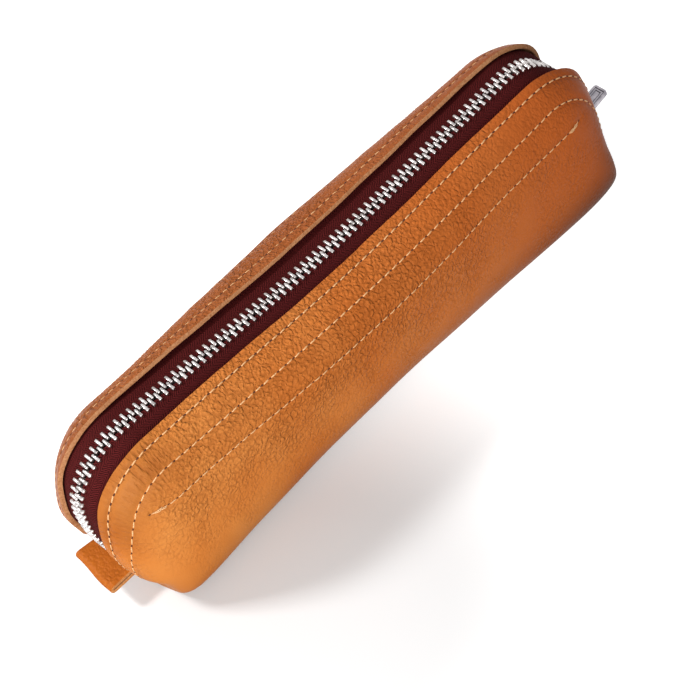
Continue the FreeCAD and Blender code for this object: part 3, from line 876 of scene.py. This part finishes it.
def buildRow(name, side, replaced):
    row = rowPlaces[name]
    random.seed(name + str(side))
    template = bmesh.new()
    stitchShape(template)
    frames = []
    # sewn from the front, so the back thread is pulled in
    sunk = stitch["pulledIn"] if side > 0 else 0.0
    for turn in rowFrames(row, side, stitch["pitch"], False):
        tilt = Matrix.Rotation(math.radians(random.uniform(2, 8)) * side, 4, "X")
        lift = random.uniform(-stitch["uneven"], stitch["uneven"]) - sunk
        frames.append(turn @ Matrix.Translation((lift, 0, 0)) @ tilt)
    if name == "rowThree":
        # a few stitches sewn over one another lock both ends of the row
        for end, way in ((frames[0], 1), (frames[-1], -1)):
            for back, beside in stitch["locks"]:
                slant = Matrix.Rotation(math.radians(math.copysign(stitch["lockSlant"], beside)), 4, "X")
                frames.append(end @ Matrix.Translation((stitch["lockRise"], beside, back * way)) @ slant)
    mesh = repeatShape(template, frames)
    template.free()
    label = name + ("Back" if side > 0 else "Front")
    finishPiece(label, mesh, "case", replaced, [threadFibre])
    # painted shade: dark patches at the needle holes
    holes = bmesh.new()
    bmesh.ops.create_uvsphere(holes, u_segments=8, v_segments=4, radius=stitch["hole"])
    # the first row is pulled tightest and its holes are drawn out
    long = stitch["drawnOut"] if name == "rowOne" else stitch["plain"]
    bmesh.ops.scale(holes, verts=holes.verts, vec=(0.2, 0.8, long))
    pierced = repeatShape(holes, rowFrames(row, side, stitch["pitch"], True))
    holes.free()
    finishPiece(label + "Holes", pierced, "case", [], [holeDark])


for rowName, cadName in (("rowOne", "row_one"), ("rowTwo", "row_two"), ("rowThree", "row_three")):
    buildRow(rowName, 1, [cadName + "_back"])
    buildRow(rowName, -1, [cadName + "_front"])
print("rows sewn")


# loop tab: one strip folded back on itself
tab = {"width": 0.0173, "leather": 0.0013, "slit": 0.0005, "length": 0.0105, "root": 0.001, "edge": 0.00022,
       "columns": 44, "across": 17, "puff": 0.00018, "spread": 0.12, "skew": 0.0016, "curl": 0.0003,
       "press": 0.98}
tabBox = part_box("loop_tab")
tabHeight = (tabBox[0][2] + tabBox[1][2]) / 2
tabRoot = tabBox[0][0] + tab["length"]


def buildTab():
    mesh = bmesh.new()
    columns, across, root = tab["columns"], tab["across"], tab["root"]
    table = placeGrid(mesh, columns, across)
    middle = (tab["slit"] + tab["leather"]) / 2
    straight = tab["length"] - middle - tab["leather"] / 2
    bend = math.pi * middle
    total = 2 * straight + 2 * root + bend
    for i, line in enumerate(table):
        s = total * i / (columns - 1)
        if s < straight + root:
            x, z = tabRoot + root - s, middle
        elif s < straight + root + bend:
            a = (s - straight - root) / middle
            x, z = tabRoot - straight - middle * math.sin(a), middle * math.cos(a)
        else:
            x, z = tabRoot - straight + (s - straight - root - bend), -middle
        out = clamp((tabRoot - x) / tab["length"])
        for j, vert in enumerate(line):
            v = 2 * j / (across - 1) - 1
            puff = tab["puff"] * math.sin(out * math.pi) * (1 if z > 0 else -1) * (1 - v * v)
            y = v * tab["width"] / 2 * (1 + tab["spread"] * out * max(v, 0))
            pulled = tab["skew"] * ease(v, -0.6, 1.0) * out       # its back corner is folded shorter
            wave = 0.0001 * noise.noise(Vector((x * 180, y * 160, z * 200)))
            lift = puff + wave + tab["curl"] * out * max(v, 0)
            vert.co = Vector((x + pulled, y, tabHeight + z * tab["press"] + lift))
    turnOut(mesh, lambda faces: max(faces, key=lambda f: f.calc_center_median().z).normal.z)
    piece = finishPiece("loopTab", mesh, "tab", ["loop_tab"], [tabLeather, fleshSide, tabEdge])
    thicken(piece, tab["leather"], 0)
    roundEdge(piece, tab["edge"])


buildTab()
print("tab folded")


# slider, bridge, pull and bottom stop, rounded from their CAD shapes by these widths
rounding = {"shell": 0.0003, "arch": 0.0002, "pull": 0.00010, "stop": 0.0002}
pull = {"tilt": 12.5, "sunk": 0.0001, "plateStart": 0.108, "lineStart": 0.106}


def roundedCopy(node, width, segments=2):
    mesh = bmesh.new()
    mesh.from_mesh(nodes[node].data)
    bmesh.ops.remove_doubles(mesh, verts=mesh.verts, dist=1e-6)
    bmesh.ops.dissolve_limit(mesh, angle_limit=math.radians(2), verts=mesh.verts, edges=mesh.edges)
    bmesh.ops.recalc_face_normals(mesh, faces=mesh.faces)
    sharp = [e for e in mesh.edges if len(e.link_faces) == 2 and e.calc_face_angle(0) > math.radians(40)]
    bmesh.ops.bevel(mesh, geom=sharp, offset=width, offset_type="OFFSET", segments=segments, profile=0.5,
                    affect="EDGES", material=-1, clamp_overlap=True)
    bmesh.ops.triangulate(mesh, faces=[f for f in mesh.faces if len(f.verts) > 4])
    return mesh


def metalPiece(name, mesh, body, node, materials):
    finishPiece(name, mesh, body, [node], materials, smooth=False)


def buildPull():
    # the floors of the pull's sunk lines take a dark nickel colour
    mesh = roundedCopy("pull_tab", rounding["pull"], 1)
    tilt = math.radians(pull["tilt"])
    plateNormal = Vector((-math.sin(tilt), 0, math.cos(tilt)))
    flatFaces = [f for f in mesh.faces if abs(f.normal.dot(plateNormal)) > 0.98]
    levels = {f: f.calc_center_median().dot(plateNormal) for f in flatFaces}
    top = max(levels.values()) - pull["sunk"]
    bottom = min(levels[f] for f in flatFaces
                 if f.calc_center_median().x > pull["plateStart"]) + pull["sunk"]
    for face, level in levels.items():
        if bottom < level < top and face.calc_center_median().x > pull["lineStart"]:
            face.material_index = 1
    metalPiece("pullPlate", mesh, "pull", "pull_tab", [pullNickel, sunkLine])


metalPiece("sliderShell", roundedCopy("slider_body", rounding["shell"]), "slider", "slider_body",
           [sliderNickel])
metalPiece("sliderArch", roundedCopy("slider_bridge", rounding["arch"]), "slider", "slider_bridge",
           [sliderNickel])
buildPull()
stopMesh = roundedCopy("bottom_stop", rounding["stop"])
for vert in stopMesh.verts:
    vert.co.x -= puffAt(-1, vert.co.z)
metalPiece("bottomStop", stopMesh, "case", "bottom_stop", [toothNickel])
for name in ("top_stop_front", "top_stop_back"):
    nodes[name].data.materials.clear()
    nodes[name].data.materials.append(toothNickel)
print("slider finished")


# floor, light and camera
studio = {"floor": 3.0, "world": 0.30, "key": 3.65, "back": 3.0, "glow": 0.03, "fullGlow": 0.8,
          "paintedShadowCentre": (-0.075, -0.06, 0.0), "aim": (0, 0, 0.02)}
view = {"lens": 123.1, "place": (-0.2396, -0.3987, 0.5869), "target": (-0.0020, -0.0012, 0.0042),
        "roll": -17.96}


def seenDirectly(tree):
    # 1 where a camera or mirror ray meets the surface
    path = addNode(tree, "ShaderNodeLightPath").outputs
    return addNode(tree, "ShaderNodeMath", {0: path["Is Camera Ray"], 1: path["Is Glossy Ray"]},
                   operation="ADD", use_clamp=True).outputs[0]


def buildFloor():
    mesh = bmesh.new()
    bmesh.ops.create_grid(mesh, x_segments=1, y_segments=1, size=studio["floor"] / 2)
    made = bpy.data.meshes.new("floor")
    mesh.to_mesh(made)
    mesh.free()
    floor = bpy.data.objects.new("floor", made)
    bpy.context.scene.collection.objects.link(floor)
    material, tree, surface = newMaterial("white paper sweep")
    seen = seenDirectly(tree)
    paper = addNode(tree, "ShaderNodeMix", {"Factor": seen, 6: colour("#909090"),
                                            7: colour("#E0E0E0")}, data_type="RGBA")
    # painted light: the floor glows brighter with distance from a point by the case's front-left corner, so
    # its cast shadow shows only there
    place = addNode(tree, "ShaderNodeTexCoord").outputs["Object"]
    place = addNode(tree, "ShaderNodeVectorMath", {0: place, 1: studio["paintedShadowCentre"]},
                    operation="SUBTRACT").outputs[0]
    far = addNode(tree, "ShaderNodeVectorMath", {0: place}, operation="LENGTH").outputs["Value"]
    glow = addNode(tree, "ShaderNodeMapRange", {"Value": far, "From Min": 0.035, "From Max": 0.12,
                                                "To Min": studio["glow"], "To Max": studio["fullGlow"]},
                   interpolation_type="SMOOTHSTEP").outputs[0]
    glow = addNode(tree, "ShaderNodeMath", {0: seen, 1: glow}, operation="MULTIPLY")
    setSockets(tree, surface, {"Base Color": paper.outputs[2], "Roughness": 0.9, "Specular IOR Level": 0.0,
                               "Emission Color": (1, 1, 1, 1), "Emission Strength": glow.outputs[0]})
    made.materials.append(material)


def buildWorld():
    world = bpy.data.worlds.new("studio")
    bpy.context.scene.world = world
    world.use_nodes = True
    tree = world.node_tree
    tree.nodes.clear()
    seen = seenDirectly(tree)
    level = addNode(tree, "ShaderNodeMapRange",
                    {"Value": seen, "To Min": studio["world"], "To Max": 1.0})
    back = addNode(tree, "ShaderNodeBackground", {"Color": (1, 1, 1, 1), "Strength": level.outputs[0]})
    addNode(tree, "ShaderNodeOutputWorld", {"Surface": back.outputs[0]})


def areaLight(name, place, size, power):
    lamp = bpy.data.lights.new(name, "AREA")
    lamp.shape = "SQUARE"
    lamp.size = size
    lamp.energy = power
    made = bpy.data.objects.new(name, lamp)
    made.location = place
    made.rotation_euler = (Vector(studio["aim"]) - Vector(place)).to_track_quat("-Z", "Y").to_euler()
    bpy.context.scene.collection.objects.link(made)


def buildCamera():
    lens = bpy.data.cameras.new("camera")
    lens.sensor_width = 36
    lens.lens = view["lens"]
    camera = bpy.data.objects.new("camera", lens)
    place = Vector(view["place"])
    look = (Vector(view["target"]) - place).normalized()
    level = look.cross(Vector((0, 0, 1))).normalized()
    upright = level.cross(look)
    roll = math.radians(view["roll"])
    right = level * math.cos(roll) + upright * math.sin(roll)
    up = upright * math.cos(roll) - level * math.sin(roll)
    camera.matrix_world = Matrix.Translation(place) @ Matrix((right, up, -look)).transposed().to_4x4()
    bpy.context.scene.collection.objects.link(camera)
    bpy.context.scene.camera = camera


buildFloor()
buildWorld()
areaLight("key", (-0.37, -0.41, 0.28), 0.42, studio["key"])
areaLight("back", (-0.36, 0.34, 0.44), 0.10, studio["back"])
buildCamera()
bpy.context.scene.view_settings.view_transform = "Standard"
print("scene ready")
